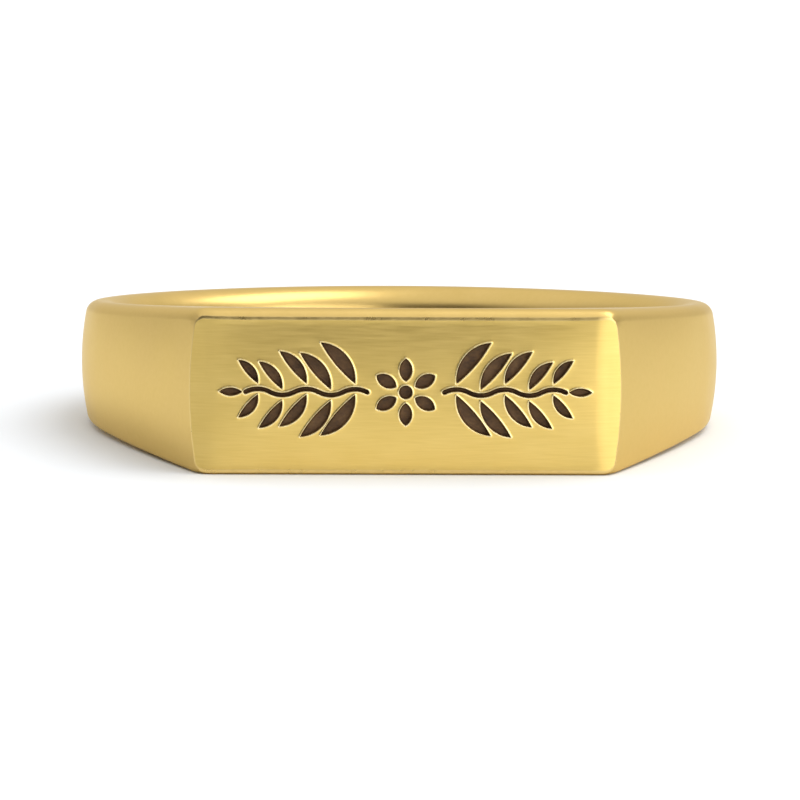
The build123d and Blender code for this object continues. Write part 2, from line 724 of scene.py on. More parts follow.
@dataclass(frozen=True)
class CutProfile:
    """Section across the edge of an engraved cut: a low thrown-up lip, a steep side and a flat floor."""

    offsets: tuple[float, ...] = (0.085, 0.062, 0.044, 0.030, 0.017, 0.006, -0.006, -0.018, -0.034, -0.070)
    heights: tuple[float, ...] = (0.0, 0.001, 0.006, 0.014, 0.016, 0.008, -0.030, -0.120, -0.155, -0.165)
    step: float = 0.055

    @property
    def reach(self) -> float:
        """How far outside a cut the lip ends."""
        return self.offsets[0]

    @property
    def lip_start(self) -> float:
        """How far outside a cut the lip's part with the painted highlight starts."""
        return self.offsets[2]

    @property
    def floor_start(self) -> float:
        """Distance, negative inside, at which the dark part of a cut starts."""
        return self.offsets[6]

    def height(self, distance: Array) -> Array:
        """Height above the plate at a signed distance from the nearest cut."""
        return np.interp(distance, self.offsets[::-1], self.heights[::-1])


@dataclass
class MeshParts:
    """Points, faces and finishes of the ring, gathered piece by piece."""

    WELD_GAP: ClassVar[float] = 2e-7
    SLIVER: ClassVar[float] = 1e-8

    points: list[Array] = field(default_factory=list)
    faces: list[tuple[int, ...]] = field(default_factory=list)
    finishes: list[Finish] = field(default_factory=list)
    count: int = 0

    def add_points(self, points: Array) -> int:
        """Adds points.

        Args:
            points: Rows of x, y and h.

        Returns:
            Number of the first of them.
        """
        first = self.count
        self.points.append(points)
        self.count += len(points)
        return first

    def add_grid(self, grid: Array, finish_of_row: Callable[[int], Finish], flipped: bool) -> None:
        """Adds a grid of quads.

        Args:
            grid: Points by column and row.
            finish_of_row: Finish of the faces between a row and the next.
            flipped: Whether the faces look to the other side.
        """
        columns, rows = grid.shape[:2]
        first = self.add_points(grid.reshape(-1, 3))
        for j in range(columns - 1):
            for i in range(rows - 1):
                a = first + j * rows + i
                quad = (a, a + 1, a + rows + 1, a + rows)
                self.faces.append(quad[::-1] if flipped else quad)
                self.finishes.append(finish_of_row(i))

    def mesh(self, name: str, sizes: RingSizes) -> bpy.types.Mesh:
        """Makes one closed mesh of everything gathered.

        Args:
            name: Name of the mesh.
            sizes: Sizes of the ring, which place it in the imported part's frame.

        Returns:
            The mesh, with its seams welded.
        """
        mesh = bpy.data.meshes.new(name)
        mesh.from_pydata(sizes.to_frame(np.concatenate(self.points)).tolist(), [], self.faces)
        mesh.polygons.foreach_set("material_index", [finish.value for finish in self.finishes])
        work = bmesh.new()
        work.from_mesh(mesh)
        bmesh.ops.remove_doubles(work, verts=work.verts, dist=self.WELD_GAP)
        bmesh.ops.dissolve_degenerate(work, dist=self.SLIVER, edges=work.edges)
        bmesh.ops.recalc_face_normals(work, faces=work.faces)
        work.to_mesh(mesh)
        work.free()
        return mesh


def inside_loop(points: Array, loop: Array) -> Array:
    """Which points of a plane lie inside a closed outline.

    Args:
        points: Rows of two coordinates.
        loop: Corners of the outline in order.

    Returns:
        True for each point inside.
    """
    inside = np.zeros(len(points), bool)
    for (x0, y0), (x1, y1) in zip(loop, np.roll(loop, -1, axis=0), strict=True):
        spans = (points[:, 1] > y0) != (points[:, 1] > y1)
        if y0 != y1:
            inside ^= spans & (points[:, 0] < x0 + (points[:, 1] - y0) * (x1 - x0) / (y1 - y0))
    return inside


def placed(name: str, data: bpy.types.ID) -> bpy.types.Object:
    """Makes an object of some data and puts it in the scene.

    Args:
        name: Name of the object.
        data: Its mesh, light or camera.

    Returns:
        The object.
    """
    made = bpy.data.objects.new(name, data)
    bpy.context.scene.collection.objects.link(made)
    return made


@dataclass(frozen=True)
class RowCounts:
    """How finely each stretch of the ring's section is divided."""

    bore: int = 4
    bore_rounding: int = 14
    rim: int = 2
    upper_share: int = 9
    lower_share: int = 7
    wall: int = 16

    @property
    def front(self) -> int:
        """Rows of a column that ends at the plate's crease."""
        return self.bore + self.bore_rounding + self.rim + self.upper_share + 1


@dataclass
class RingBody:
    """The one-piece ring: bore, rims, rounded edges, crowned wall and the engraved plate."""

    INSIDE_ONLY: ClassVar[int] = 1

    sizes: RingSizes
    ornament: Ornament
    profile: CutProfile
    rows: RowCounts = RowCounts()
    front_columns: int = 96
    shoulder_columns: int = 44
    band_columns: int = 96
    crease_rounding: float = 0.022
    level_rounding: float = 0.075
    level_power: int = 3
    crease_steps: int = 5
    crease_weight: float = 0.9
    corner_radius: float = 0.28
    corner_reach: float = 0.45
    corner_margin: float = 0.2
    corner_front: float = 8.5
    corner_steps: int = 8
    search_turn: float = 0.28
    halvings: int = 27
    corner_blend: int = 12
    bare_step: float = 0.20
    roll_step: float = 0.07
    roll_margin: float = 0.2
    bare_gap: float = 0.06
    merge_gap: float = 1e-6
    fewest_points: int = 4
    edge_weight: float = 0.03
    normal_step: float = 0.006

    def __post_init__(self) -> None:
        """Sets up the surfaces that the sizes describe."""
        self.rim = RimArch(self.sizes)
        self.wall = BlankWall(self.sizes)
        self.plate = PlateSurface(self.sizes)
        self.forms = self.ornament.forms()
        self.parts = MeshParts()

    def _crossing(self, skin: Callable[[Array], Array], front: Callable[[Array], Array]) -> Array:
        """Turn at which a row of the blank's skin meets the surface in front of it.

        Args:
            skin: Gives the point of the row at a turn.
            front: Gives the depth of the front surface at a place along the bar.

        Returns:
            The turn.
        """

        def before(turn: Array) -> Array:
            """Whether the skin lies in front of the surface."""
            points = skin(turn)
            return points[:, 1] < front(points[:, 0])

        seam = np.array([self.sizes.seam_turn])
        return turning_point(seam - self.search_turn, seam, before, self.halvings)

    def _corner_turn(self, edge: EdgeRounding, share: Array) -> Array:
        """Turn at which one row of the rounding meets the same row of the blank's front."""
        return self._crossing(
            lambda turn: edge.point(turn, share), lambda x: edge.front_point(x, share)[:, 1]
        )

    def _front_share(
        self, edge: EdgeRounding, place: Callable[[Array], Array], setback: float, count: int
    ) -> Array:
        """Share of the rounding at which the blank's front meets the plate.

        Args:
            edge: Rounding between the rim and the blank's front.
            place: Gives the place along the bar at a share for each row.
            setback: How far behind the plate's surface the front is cut.
            count: Number of rows.

        Returns:
            The share for each row.
        """

        def behind(share: Array) -> Array:
            """Whether the blank's front lies behind the plate."""
            x = place(share)
            return edge.front_point(x, share)[:, 1] > self.plate.depth(x) + setback

        return turning_point(np.zeros(count), np.ones(count), behind, self.halvings)

    def _inner_rows(self, rim_end: Array, facing: Array) -> list[Array]:
        """Rows of the bore, its rounded edge and the rim, up to where the outer rounding starts.

        Args:
            rim_end: Where the rim meets the outer rounding in each column.
            facing: A point of each column at mid-height, which sets its turn round the bore.

        Returns:
            Rows of points.
        """
        s, count = self.sizes, self.rows
        polar = np.arctan2(facing[:, 0], -facing[:, 1])
        bore = np.stack([s.bore_radius * np.sin(polar), -s.bore_radius * np.cos(polar)], axis=1)
        corner = np.column_stack([bore, self.rim.height(bore[:, 1])])
        outward = rim_end - corner
        outward /= np.linalg.norm(outward, axis=1, keepdims=True)
        opening = np.arccos(np.clip(-outward[:, 2], -1, 1))
        leg = s.bore_rounding / np.tan(opening / 2)
        start = corner - np.column_stack([np.zeros((len(leg), 2)), leg])
        end = corner + outward * leg[:, None]
        rows = []
        for k in range(count.bore):
            rows.append(start * np.array([1, 1, k / count.bore]))
        for k in range(count.bore_rounding):
            share = np.full(len(leg), k / count.bore_rounding)
            rows.append(rounded_corner((start, corner, end), np.sin(opening / 2), share))
        for k in range(count.rim):
            share = k / count.rim
            rows.append(end + (rim_end - end) * share)
        return rows

    def half(self, upper: bool, setback: float) -> tuple[Array, Array]:
        """Half of the ring's right side, between its mid-plane and one rim.

        Args:
            upper: Whether it is the upper half.
            setback: How far behind the plate's surface the front is cut.

        Returns:
            Front columns from the left corner to the right, and side columns from the corner to the back,
            as points by column and row.
        """
        s, count = self.sizes, self.rows
        radius = s.upper_rounding if upper else s.lower_rounding
        edge = EdgeRounding(s, self.wall, self.rim, self.plate, radius)
        shoulder = np.linspace(0.0, 1.0, self.shoulder_columns, endpoint=False)
        band = np.linspace(s.seam_turn, math.pi, self.band_columns + 1)

        def plate_depth(x: Array) -> Array:
            """Depth at which the front is cut."""
            return self.plate.depth(x) + setback

        def turns_from(start: Array) -> Array:
            """Turns of the side columns, from the plate's corner to the back."""
            return np.concatenate([start + shoulder * (s.seam_turn - start), band])

        def corner_place(share: Array) -> Array:
            """Place along the bar of the blank's front corner."""
            return edge.point(self._corner_turn(edge, share), share)[:, 0]

        corner_share = self._front_share(edge, corner_place, setback, 1)[0]
        side_rows: list[Array] = []
        corner_x: list[float] = []

        upper_shares = corner_share * np.arange(count.upper_share + 1) / count.upper_share
        below_corner = (1 - corner_share) * np.arange(1, count.lower_share + 1) / count.lower_share
        lower_shares = corner_share + below_corner
        for k, share in enumerate([*upper_shares, *lower_shares]):
            a = np.array([share])
            if k <= count.upper_share:
                start = self._corner_turn(edge, a)
            else:
                start = self._crossing(lambda t, a=a: edge.point(t, a), plate_depth)
            turns = turns_from(start)
            side_rows.append(edge.point(turns, np.full_like(turns, share)))
            corner_x.append(float(side_rows[-1][0, 0]))

        reference = side_rows[-1]
        for k in range(1, count.wall + 1):
            heights = reference[:, 2] * (1 - k / count.wall)
            start = self._crossing(lambda t, a=heights[:1]: self.wall.point(t, a), plate_depth)
            side_rows.append(self.wall.point(turns_from(start), heights))
        side = np.stack(self._inner_rows(side_rows[0], side_rows[-1]) + side_rows, axis=1)

        spread = np.linspace(-1.0, 1.0, self.front_columns + 1)
        ends = spread * corner_x[count.upper_share]
        limit = self._front_share(edge, lambda _: ends, setback, len(ends))
        front_rows = []
        for k in range(count.upper_share + 1):
            share = limit * k / count.upper_share
            x = spread * corner_x[k]
            row = edge.front_point(x, share)
            row += np.abs(spread)[:, None] ** self.corner_blend * (side_rows[k][0] - row[-1]) * [0, 1, 1]
            if k == count.upper_share:
                row[:, 1] = plate_depth(x)
            front_rows.append(row)
        facing = np.column_stack([spread * side_rows[-1][0, 0], np.full_like(spread, side_rows[-1][0, 1])])
        front = np.stack(self._inner_rows(front_rows[0], facing) + front_rows, axis=1)
        front[-1] = side[0, : count.front]
        front[0] = side[0, : count.front] * MIRRORED
        if not upper:
            front, side = front * INVERTED, side * INVERTED
        return front, side

    def crease(self, halves: tuple[tuple[Array, Array], tuple[Array, Array]]) -> Array:
        """Closed loop of the plate's edge, anticlockwise seen from the front.

        Args:
            halves: Front and side columns of the upper half and of the lower half.

        Returns:
            Rows of x, y and h.
        """
        (top_front, top_side), (low_front, low_side) = halves
        corner = self.rows.front - 1
        low_right = low_side[0, corner:]
        top_right = top_side[0, corner:][::-1]
        loop = [
            low_front[:-1, -1],
            low_right[:-1],
            top_right[:-1],
            top_front[::-1, -1][:-1],
            top_right[::-1][:-1] * MIRRORED,
            low_right[::-1][:-1] * MIRRORED,
        ]
        return np.concatenate(loop)

    def _set_corners(self, sharp: Array) -> None:
        """Finds the plate's four corners and lays close points along its edge.

        Args:
            sharp: Points of the plate's edge, anticlockwise from its lower left corner.
        """
        side = (len(sharp) - 2 * self.front_columns) // 2
        starts = np.cumsum([0, self.front_columns, side, self.front_columns])
        steps = np.linspace(0.0, 1.0, self.corner_steps, endpoint=False)[None, :, None]
        edge = (sharp[:, None] + (np.roll(sharp, -1, axis=0) - sharp)[:, None] * steps).reshape(-1, 3)
        lengths = np.linalg.norm(np.roll(edge, -1, axis=0) - edge, axis=1)
        place = np.concatenate([[0.0], np.cumsum(lengths)[:-1]])
        total = lengths.sum()
        self.edge_points = edge
        self.edge_shift = np.zeros_like(edge)
        for start in starts * self.corner_steps:
            along = (place - place[start] + total / 2) % total - total / 2
            near = np.flatnonzero(np.abs(along) < self.corner_radius)
            near = near[np.argsort(along[near])]
            legs = edge[near[0]], edge[start], edge[near[-1]]
            share = (1 + along[near] / self.corner_radius) / 2
            arc = rounded_corner(legs, np.full(len(near), SQUARE_CORNER), share)
            arc[:, 1] = edge[near, 1] + self.plate.depth(arc[:, 0]) - self.plate.depth(edge[near, 0])
            self.edge_shift[near] = arc - edge[near]

    def _round_corners(self, points: Array) -> Array:
        """Draws the skin in towards the plate's rounded corners.

        Args:
            points: Points of the skin, in any arrangement with x, y and h last.

        Returns:
            The moved points, arranged as before.
        """
        flat = points.reshape(-1, 3).copy()
        reach = self.corner_radius + self.corner_reach
        corner_x = np.abs(self.edge_points[:, 0]).max() - reach
        corner_h = self.sizes.head_height / 2 - reach - self.corner_margin
        outside = (np.abs(flat[:, 0]) > corner_x) & (np.abs(flat[:, 2]) > corner_h)
        near = np.flatnonzero(outside & (flat[:, 1] < -self.corner_front))
        if len(near):
            gaps = np.linalg.norm(flat[near, None, :] - self.edge_points[None, :, :], axis=2)
            nearest = gaps.argmin(axis=1)
            pull = np.clip(1 - gaps[np.arange(len(near)), nearest] / self.corner_reach, 0.0, 1.0) ** 2
            flat[near] += self.edge_shift[nearest] * pull[:, None]
        return flat.reshape(points.shape)

    def _inset(self, loop: Array) -> Array:
        """Moves the plate's edge inwards on the plate, further along its upper and lower edges.

        Args:
            loop: Points of the edge, anticlockwise.

        Returns:
            The moved points.
        """
        flat = loop[:, [0, 2]]
        along = np.roll(flat, -1, axis=0) - np.roll(flat, 1, axis=0)
        along /= np.linalg.norm(along, axis=1, keepdims=True)
        inward = np.stack([-along[:, 1], along[:, 0]], axis=1)
        level = np.abs(inward[:, 1:]) ** self.level_power
        widening = (self.level_rounding - self.crease_rounding) * level
        moved = flat + inward * (self.crease_rounding + widening)
        return np.column_stack([moved[:, 0], self.plate.depth(moved[:, 0]), moved[:, 1]])

    def _row_finish(self, row: int) -> Finish:
        """Finish of the faces between a row and the next."""
        return Finish.BORE if row < self.rows.bore else Finish.SATIN

    @staticmethod
    def _edge_finish(_row: int) -> Finish:
        """Finish of the narrow rounding along the plate's edge, whose paler gold is a painted sheen."""
        return Finish.EDGE

    def _set_normals(self, mesh: bpy.types.Mesh) -> None:
        """Sets smooth normals: weighed by area off the plate, and worked out from its surface on it.

        Args:
            mesh: The ring's mesh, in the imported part's frame.
        """
        places = np.empty(len(mesh.vertices) * 3)
        mesh.vertices.foreach_get("co", places)
        places = places.reshape(-1, 3)
        normals = np.zeros_like(places)
        on_plate = np.zeros(len(places), bool)
        plate_slots = {Finish.BRUSHED.value, Finish.CUT.value, Finish.LIP.value}
        for face in mesh.polygons:
            corners = list(face.vertices)
            weight = self.edge_weight if face.material_index == Finish.EDGE.value else 1.0
            normals[corners] += np.array(face.normal) * face.area * weight
            if face.material_index in plate_slots:
                on_plate[corners] = True
        normals /= np.linalg.norm(normals, axis=1, keepdims=True)
        lean = self.sizes.rest_tilt
        x, y, z = (places[on_plate] / METRES_PER_MM).T
        height = (z - self.sizes.mid_height) * math.cos(lean) + y * math.sin(lean)
        normals[on_plate] = self.sizes.lean_back(self.plate_normals(np.column_stack([x, height])))
        mesh.polygons.foreach_set("use_smooth", [True] * len(mesh.polygons))
        mesh.normals_split_custom_set_from_vertices(normals.tolist())

    def _add_plate(self, edge_loop: Array) -> None:
        """Adds the plate's face with its engraved ornament.

        Args:
            edge_loop: Points of the plate's edge, anticlockwise.
        """
        loop = edge_loop[:, [0, 2]]
        points: list[Array] = [loop]
        count = len(loop)
        edges = [(k, (k + 1) % count) for k in range(count)]
        for form in self.forms:
            for offset in self.profile.offsets:
                outline = form.outline(offset, self.profile.step)
                if outline is None or len(outline) < self.fewest_points:
                    continue
                points.append(outline)
                edges.extend((count + k, count + (k + 1) % len(outline)) for k in range(len(outline)))
                count += len(outline)
        points.append(self._bare_points(loop))
        corners = [Vector(p) for p in np.concatenate(points)]
        made = delaunay_2d_cdt(corners, edges, [], self.INSIDE_ONLY, self.merge_gap, False)
        flat = np.array([tuple(v) for v in made[0]])
        triangles = np.array([tuple(t) for t in made[2]])
        triangles = triangles[inside_loop(flat[triangles].mean(axis=1), loop)]
        first = self.parts.add_points(np.column_stack([flat[:, 0], self.plate_depth(flat), flat[:, 1]]))
        middles = flat[triangles].mean(axis=1)
        for triangle, distance in zip(triangles, self._cut_gap(middles), strict=True):
            self.parts.faces.append(tuple(int(first + k) for k in triangle))
            if distance < self.profile.floor_start:
                finish = Finish.CUT
            elif distance < self.profile.lip_start:
                # the lip faces take the lip gold, whose paler colour is a painted highlight
                finish = Finish.LIP
            else:
                finish = Finish.BRUSHED
            self.parts.finishes.append(finish)

    def plate_depth(self, flat: Array) -> Array:
        """Depth of the engraved plate at each point of it."""
        lift = self.plate.crowned(flat) + self.profile.height(self._cut_gap(flat))
        return self.plate.depth(flat[:, 0]) - lift

    def _cut_gap(self, flat: Array) -> Array:
        """Signed distance of each point of the plate from the nearest cut."""
        return np.min([form.distance(flat) for form in self.forms], axis=0)

    def plate_normals(self, flat: Array) -> Array:
        """Normals of the engraved plate, in the ring's own frame.

        Args:
            flat: Rows of x and h on the plate.

        Returns:
            Rows of x, y and h, of unit length.
        """
        step = self.normal_step
        normals = np.full((len(flat), 3), -1.0)
        for axis, offset in ((0, [step, 0.0]), (2, [0.0, step])):
            rise = self.plate_depth(flat + offset) - self.plate_depth(flat - offset)
            normals[:, axis] = rise / (2 * step)
        return normals / np.linalg.norm(normals, axis=1, keepdims=True)

    def _bare_points(self, loop: Array) -> Array:
        """Points that carry the curve of the plate where it isn't engraved.

        Args:
            loop: Points of the plate's edge, as rows of x and h.

        Returns:
            Rows of x and h.
        """
        half_width, half_height = loop[:, 0].max(), np.abs(loop[:, 1]).max()
        rolled = np.arange(self.sizes.flat_half - self.roll_step, half_width, self.roll_step)
        plain = np.arange(0.0, self.sizes.flat_half - self.roll_margin, self.bare_step)
        columns = np.concatenate([-rolled[::-1], -plain[:0:-1], plain, rolled])
        rows = np.linspace(-half_height, half_height, round(2 * half_height / self.bare_step))
        grid = np.stack(np.meshgrid(columns, rows), axis=-1).reshape(-1, 2)
        free = self._cut_gap(grid) > self.profile.reach + self.bare_gap
        to_edge = np.min(np.linalg.norm(grid[:, None, :] - loop[None, :, :], axis=2), axis=1)
        return grid[free & inside_loop(grid, loop) & (to_edge > self.bare_gap)]

    def build(self) -> bpy.types.Object:
        """Builds the ring as one closed mesh.

        Returns:
            The ring's object, not yet dressed.
        """
        sharp = self.crease((self.half(True, 0.0), self.half(False, 0.0)))
        self._set_corners(sharp)
        halves = (self.half(True, self.crease_rounding), self.half(False, self.crease_rounding))
        for front, side in halves:
            self.parts.add_grid(self._round_corners(front), self._row_finish, False)
            rounded = self._round_corners(side)
            self.parts.add_grid(rounded, self._row_finish, False)
            self.parts.add_grid(rounded * MIRRORED, self._row_finish, True)
        outer = self._round_corners(self.crease(halves))
        sharp = self._round_corners(sharp)
        inner = self._inset(sharp)
        steps = []
        weight = np.full(len(outer), self.crease_weight)
        for k in range(self.crease_steps + 1):
            share = np.full(len(outer), k / self.crease_steps)
            steps.append(rounded_corner((outer, sharp, inner), weight, share))
        band = np.stack(steps, axis=1)
        self.parts.add_grid(np.concatenate([band, band[:1]]), self._edge_finish, False)
        self._add_plate(inner)
        mesh = self.parts.mesh("bar_ring_dressed", self.sizes)
        self._set_normals(mesh)
        return placed("bar_ring_dressed", mesh)


Socket = bpy.types.NodeSocket
Color = tuple[float, float, float]
Span = tuple[float, float]


class NodeSheet:
    """Node tree of a material or of the room's light, with the steps that both use."""

    def __init__(self, tree: bpy.types.NodeTree) -> None:
        """Takes up a node tree."""
        self.nodes = tree.nodes
        self.links = tree.links

    def add(self, kind: str, output: str, inputs: dict[str | int, Any], **settings: str) -> Socket:
        """Adds a node.

        Args:
            kind: Type of the node.
            output: Name of the output that is wanted.
            inputs: What each input is linked to or set to, by its name or number.
            settings: Settings of the node itself.

        Returns:
            The output's socket.
        """
        node = self.nodes.new(kind)
        for name, value in settings.items():
            setattr(node, name, value)
        for key, value in inputs.items():
            if isinstance(value, bpy.types.NodeSocket):
                self.links.new(value, node.inputs[key])
            else:
                node.inputs[key].default_value = value
        return node.outputs[output]

    def calculate(self, operation: str, first: Socket, second: Socket | float) -> Socket:
        """Joins two values by an operation."""
        return self.add("ShaderNodeMath", "Value", {0: first, 1: second}, operation=operation)

    def split(self, vector: Socket) -> list[Socket]:
        """Sockets of a vector's x, y and z."""
        return list(self.add("ShaderNodeSeparateXYZ", "X", {"Vector": vector}).node.outputs)

    def blend(self, first: Socket, second: Socket | float, share: Socket | float = 0.5) -> Socket:
        """Goes from a first value to a second by a share."""
        inputs = {"Factor": share, "A": first, "B": second}
        return self.add("ShaderNodeMix", "Result", inputs, data_type="FLOAT")

    def spread(self, value: Socket, source: Span, target: Span = (0.0, 1.0), ease: str = "LINEAR") -> Socket:
        """Maps a value from one range to another, straight or eased, and holds it there."""
        ends = {"From Min": source[0], "From Max": source[1], "To Min": target[0], "To Max": target[1]}
        return self.add("ShaderNodeMapRange", "Result", {"Value": value, **ends}, interpolation_type=ease)


class MaterialSheet(NodeSheet):
    """Node tree of one material, built round its surface shader."""

    GLANCING = (0.97, 0.89, 0.68, 1.0)

    def __init__(self, name: str, metallic: float = 1.0) -> None:
        """Makes an empty material with a surface shader.

        Args:
            name: Name of the material.
            metallic: Share of metal in its surface.
        """
        self.material = bpy.data.materials.new(name)
        self.material.use_nodes = True
        super().__init__(self.material.node_tree)
        self.surface = self.nodes["Principled BSDF"]
        self.surface.inputs["Metallic"].default_value = metallic
        if metallic == 1.0:
            self.surface.inputs["Specular Tint"].default_value = self.GLANCING

    def place(self, scale: tuple[float, float, float], turn: float = 0.0) -> Socket:
        """Coordinates on the object, in millimetres times a scale.

        Args:
            scale: Scale along x, y and z.
            turn: Turn about the y axis, in radians, made before the scale.

        Returns:
            The coordinates' socket.
        """
        source = self.add("ShaderNodeTexCoord", "Object", {})
        turned = self.add("ShaderNodeMapping", "Vector", {"Vector": source, "Rotation": (0.0, turn, 0.0)})
        in_metres = tuple(value / METRES_PER_MM for value in scale)
        return self.add("ShaderNodeMapping", "Vector", {"Vector": turned, "Scale": in_metres})

    def even(self, size_mm: float) -> Socket:
        """Coordinates with lumps of one size in every direction."""
        return self.place((1 / size_mm, 1 / size_mm, 1 / size_mm))

    def around_bore(self, along: float, across: float) -> Socket:
        """Coordinates that run round the finger bore.

        Args:
            along: Scale round the bore, for each radian.
            across: Scale up the bore, for each millimetre.

        Returns:
            The coordinates' socket.
        """
        x, y, z = self.split(self.even(1.0))
        round_bore = self.calculate("MULTIPLY", self.calculate("ARCTAN2", x, y), along)
        up_bore = self.calculate("MULTIPLY", z, across)
        return self.add("ShaderNodeCombineXYZ", "Vector", {"X": round_bore, "Y": up_bore})

    def noise(self, place: Socket, detail: float = 3.0, roughness: float = 0.5) -> Socket:
        """Smooth noise with about one lump for each unit of the coordinates."""
        inputs = {"Vector": place, "Scale": 1.0, "Detail": detail, "Roughness": roughness}
        return self.add("ShaderNodeTexNoise", "Fac", inputs)

    def tint(self, value: Socket, colors: tuple[Color, ...], span: Span | None = None) -> None:
        """Colours the surface by a value.

        Args:
            value: Value to read.
            colors: Colours, laid evenly over the span.
            span: Range of the value, from 0 to 1 where none is given.
        """
        factor = self.spread(value, span) if span else value
        ramp = self.add("ShaderNodeValToRGB", "Color", {"Fac": factor})
        band = ramp.node.color_ramp
        while len(band.elements) < len(colors):
            band.elements.new(0.5)
        for k, (element, color) in enumerate(zip(band.elements, colors, strict=True)):
            element.position = k / (len(colors) - 1)
            element.color = (*color, 1.0)
        self.links.new(ramp, self.surface.inputs["Base Color"])

    def relief(self, height: Socket, depth_mm: float, under: Socket | None = None) -> Socket:
        """Lays a fine relief on the surface.

        Args:
            height: Height from 0 to 1.
            depth_mm: What a height of 1 stands for, in millimetres.
            under: Relief that this one lies on.

        Returns:
            The bumped normal's socket.
        """
        inputs = {"Height": height, "Strength": 1.0, "Distance": depth_mm * METRES_PER_MM}
        if under is not None:
            inputs["Normal"] = under
        return self.add("ShaderNodeBump", "Normal", inputs)

    def finish_with(self, roughness: Socket, normal: Socket) -> bpy.types.Material:
        """Joins roughness and relief to the shader.

        Args:
            roughness: Roughness of the surface.
            normal: Its bumped normal.

        Returns:
            The finished material.
        """
        self.links.new(roughness, self.surface.inputs["Roughness"])
        self.links.new(normal, self.surface.inputs["Normal"])
        return self.material


@dataclass(frozen=True)
class SatinGold:
    """Gold rubbed to a soft satin with no direction, on the shoulders, rims and band."""

    pale: Color = (0.715, 0.508, 0.180)
    deep: Color = (0.685, 0.482, 0.160)
    roughness: Span = (0.29, 0.36)
    grain_mm: float = 0.16
    grain_depth: float = 0.0006
    grain_share: float = 0.4
    cloud_mm: float = 1.6
    tone_span: Span = (0.35, 0.65)

    def make(self) -> bpy.types.Material:
        """Makes the material.

        Returns:
            The finished material.
        """
        sheet = MaterialSheet("gold_satin")
        cloud = sheet.noise(sheet.even(self.cloud_mm))
        grain = sheet.noise(sheet.even(self.grain_mm))
        sheet.tint(sheet.blend(cloud, grain, self.grain_share), (self.deep, self.pale), self.tone_span)
        roughness = sheet.spread(cloud, NOISE_BULK, self.roughness)
        return sheet.finish_with(roughness, sheet.relief(grain, self.grain_depth))


@dataclass(frozen=True)
class BrushedGold:
    """Gold brushed along the bar, with short streaks that cross at a slight angle, painted paler than the
    satin gold as painted light on the plate.
    """

    # pale and deep are paler than the satin gold of the same alloy: painted light that brightens the plate
    pale: Color = (0.90, 0.650, 0.205)
    deep: Color = (0.83, 0.585, 0.165)
    roughness: Span = (0.30, 0.37)
    streak: tuple[float, float] = (1.9, 0.05)
    second_streak: tuple[float, float] = (1.9 / 1.6, 0.05 / 0.7)
    cross: float = math.radians(2.5)
    streak_depth: float = 0.0005
    second_depth: float = 0.00035
    streak_span: Span = (0.35, 0.65)
    cloud_scale: tuple[float, float, float] = (0.5, 0.5, 0.9)
    cloud_share: float = 0.3
    tone_span: Span = (0.38, 0.62)
    anisotropy: float = 0.5

    def make(self) -> bpy.types.Material:
        """Makes the material.

        Returns:
            The finished material.
        """
        sheet = MaterialSheet("gold_brushed_painted_light")
        sheet.surface.inputs["Anisotropic"].default_value = self.anisotropy
        first, second = (
            sheet.noise(sheet.place((1 / long, 1.0, 1 / thin), turn), detail=2.0)
            for (long, thin), turn in ((self.streak, self.cross), (self.second_streak, -self.cross))
        )
        cloud = sheet.noise(sheet.place(self.cloud_scale))
        streaks = sheet.blend(first, second)
        tone = sheet.blend(streaks, cloud, self.cloud_share)
        sheet.tint(tone, (self.deep, self.pale), self.tone_span)
        tangent = sheet.add("ShaderNodeTangent", "Tangent", {}, direction_type="RADIAL", axis="X")
        sheet.links.new(tangent, sheet.surface.inputs["Tangent"])
        roughness = sheet.spread(streaks, self.streak_span, self.roughness)
        under = sheet.relief(first, self.streak_depth)
        return sheet.finish_with(roughness, sheet.relief(second, self.second_depth, under))


@dataclass(frozen=True)
class BoreGold:
    """Gold inside the band, smoother, with faint turning lines round the finger, painted paler and less
    saturated than the outer gold as painted light against the darker reflections between the band's walls.
    """

    # pale and deep are paler than the satin gold of the same alloy: painted light inside the band
    pale: Color = (0.86, 0.68, 0.32)
    deep: Color = (0.82, 0.63, 0.28)
    roughness: Span = (0.30, 0.40)
    line_mm: float = 0.08
    line_turns: float = 3.0
    line_depth: float = 0.0004
    cloud_mm: float = 1.6

    def make(self) -> bpy.types.Material:
        """Makes the material.

        Returns:
            The finished material.
        """
        sheet = MaterialSheet("gold_bore_painted_light")
        lines = sheet.noise(sheet.around_bore(self.line_turns, 1 / self.line_mm), detail=2.0)
        cloud = sheet.noise(sheet.even(self.cloud_mm))
        sheet.tint(cloud, (self.deep, self.pale), NOISE_BULK)
        roughness = sheet.spread(lines, NOISE_BULK, self.roughness)
        return sheet.finish_with(roughness, sheet.relief(lines, self.line_depth))


@dataclass(frozen=True)
class CutPatina:
    """Brown floor of the engraving, rough from the graver and darkened with age."""

    dark: Color = (0.055, 0.027, 0.010)
    brown: Color = (0.125, 0.064, 0.024)
    rubbed: Color = (0.195, 0.110, 0.044)
    roughness: Span = (0.50, 0.75)
    chatter: tuple[float, float] = (0.14, 0.07)
    chatter_depth: float = 0.006
    cloud_mm: float = 0.45
    tone_span: Span = (0.34, 0.68)
    metallic: float = 0.35

    def make(self) -> bpy.types.Material:
        """Makes the material.

        Returns:
            The finished material.
        """
        sheet = MaterialSheet("engraving_patina", self.metallic)
        marks = sheet.noise(sheet.place((1 / self.chatter[0], 1.0, 1 / self.chatter[1])), roughness=0.6)
        tone = sheet.blend(marks, sheet.noise(sheet.even(self.cloud_mm)))
        sheet.tint(tone, (self.dark, self.brown, self.rubbed), self.tone_span)
        roughness = sheet.spread(marks, NOISE_BULK, self.roughness)
        return sheet.finish_with(roughness, sheet.relief(marks, self.chatter_depth))


